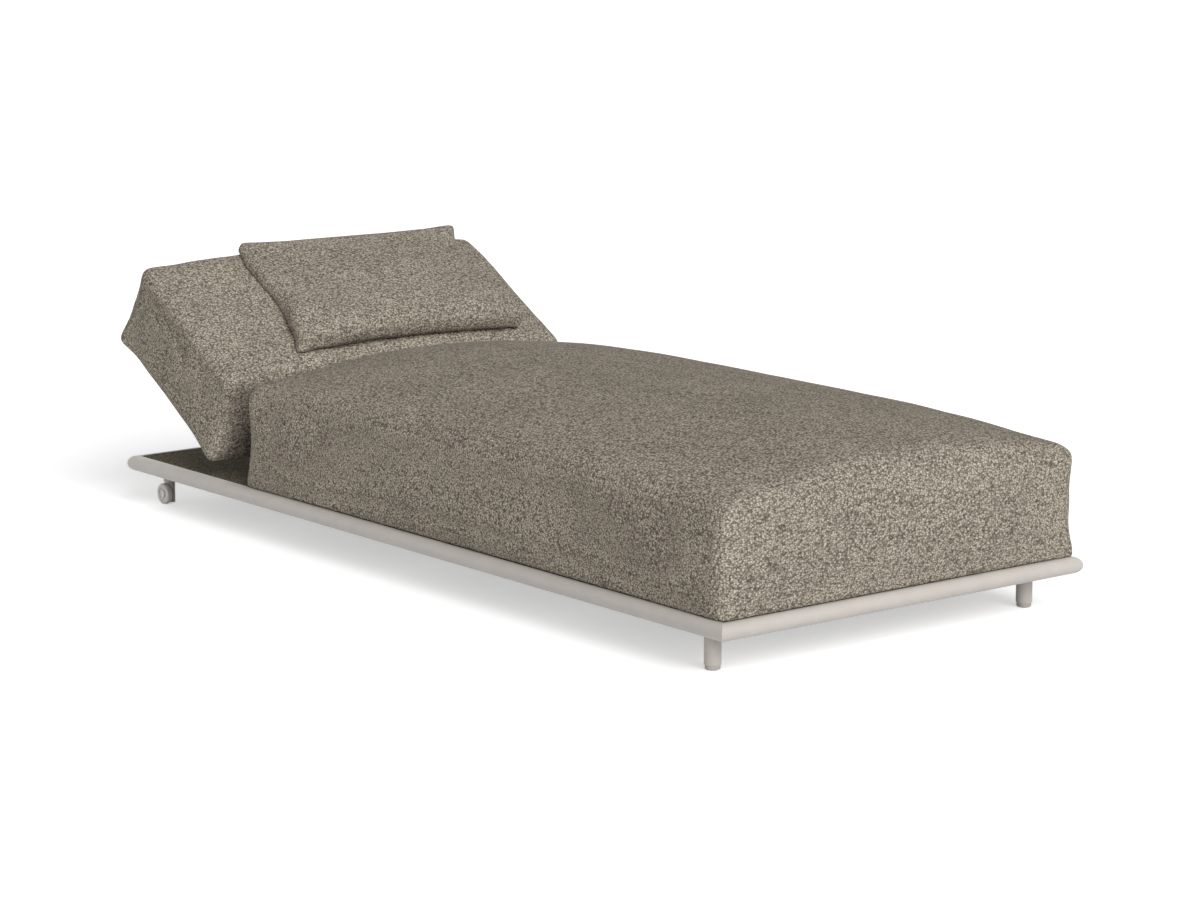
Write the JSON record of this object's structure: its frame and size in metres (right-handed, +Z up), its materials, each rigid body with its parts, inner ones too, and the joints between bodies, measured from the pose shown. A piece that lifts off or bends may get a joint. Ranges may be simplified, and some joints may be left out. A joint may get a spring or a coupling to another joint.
{
  "type": "sun lounger",
  "caption": "Low sun lounger: round-tube platform on short legs and rear wheels, a deep crowned seat cushion, a tilting back cushion and a head pillow.",
  "frame": {"origin": "on the ground, in the middle of the lounger's plan with its back raised as pictured", "axes": "+X to the right of someone lying on it, +Y from the foot end to the head end, +Z up"},
  "size_m": [0.94, 2.1285, 0.5846],
  "materials": {
    "frame_coat": "matte",
    "deck_cloth": "matte",
    "fastener_steel": "satin",
    "hinge_steel": "satin",
    "hinge_lining": "matte",
    "glide_plastic": "matte",
    "wheel_plastic": "satin",
    "tyre_rubber": "matte",
    "back_frame_coat": "matte",
    "strap_webbing": "matte",
    "cushion_cloth": "matte"
  },
  "bodies": {
    "platform": {"rail_foot": "frame_coat", "rail_head": "frame_coat", "crossbar_foot": "frame_coat", "crossbar_front": "frame_coat", "crossbar_middle": "frame_coat", "crossbar_hinge": "frame_coat", "crossbar_head": "frame_coat", "rail_left": "frame_coat", "rail_right": "frame_coat", "leg_left": "frame_coat", "leg_right": "frame_coat", "wheel_post_left": "frame_coat", "wheel_post_right": "frame_coat", "deck_front": "deck_cloth", "deck_middle": "deck_cloth", "deck_rear": "deck_cloth", "deck_screws": "fastener_steel", "axle_left": "fastener_steel", "axle_right": "fastener_steel", "hinge_post_left": "hinge_steel", "hinge_post_right": "hinge_steel", "hinge_linings_left": "hinge_lining", "hinge_linings_right": "hinge_lining", "glide_left": "glide_plastic", "glide_right": "glide_plastic", "seat_cushion": "cushion_cloth"},
    "back": {"hinge_arm_outer_left": "hinge_steel", "hinge_arm_outer_right": "hinge_steel", "hinge_arm_inner_left": "hinge_steel", "hinge_arm_inner_right": "hinge_steel", "pivot_bolt_left": "fastener_steel", "pivot_bolt_right": "fastener_steel", "disc_spring_left": "fastener_steel", "disc_spring_right": "fastener_steel", "lock_nut_left": "fastener_steel", "lock_nut_right": "fastener_steel", "back_side_tube_left": "back_frame_coat", "back_side_tube_right": "back_frame_coat", "back_lower_tube": "back_frame_coat", "back_top_tube": "back_frame_coat", "back_tube_plugs": "glide_plastic", "back_straps": "strap_webbing", "back_cushion": "cushion_cloth"},
    "pillow": {"head_pillow": "cushion_cloth"},
    "left_wheel": {"wheel_left": "wheel_plastic", "tyre_left": "tyre_rubber"},
    "right_wheel": {"wheel_right": "wheel_plastic", "tyre_right": "tyre_rubber"}
  },
  "joints": [
    {"name": "back_recline", "type": "hinge", "parent": "platform", "child": "back", "pos_m": [0, 0.574, 0.322], "axis": [1, 0, 0], "range_deg": [-31, 29]},
    {"name": "pillow_slide", "type": "slide", "parent": "back", "child": "pillow", "axis": [0, 0.8572, 0.515], "range_m": [-0.06, 0.03]},
    {"name": "left_wheel_spin", "type": "hinge", "parent": "platform", "child": "left_wheel", "pos_m": [-0.41, 0.968, 0.024], "axis": [1, 0, 0], "continuous": true},
    {"name": "right_wheel_spin", "type": "hinge", "parent": "platform", "child": "right_wheel", "pos_m": [0.41, 0.968, 0.024], "axis": [1, 0, 0], "continuous": true}
  ]
}
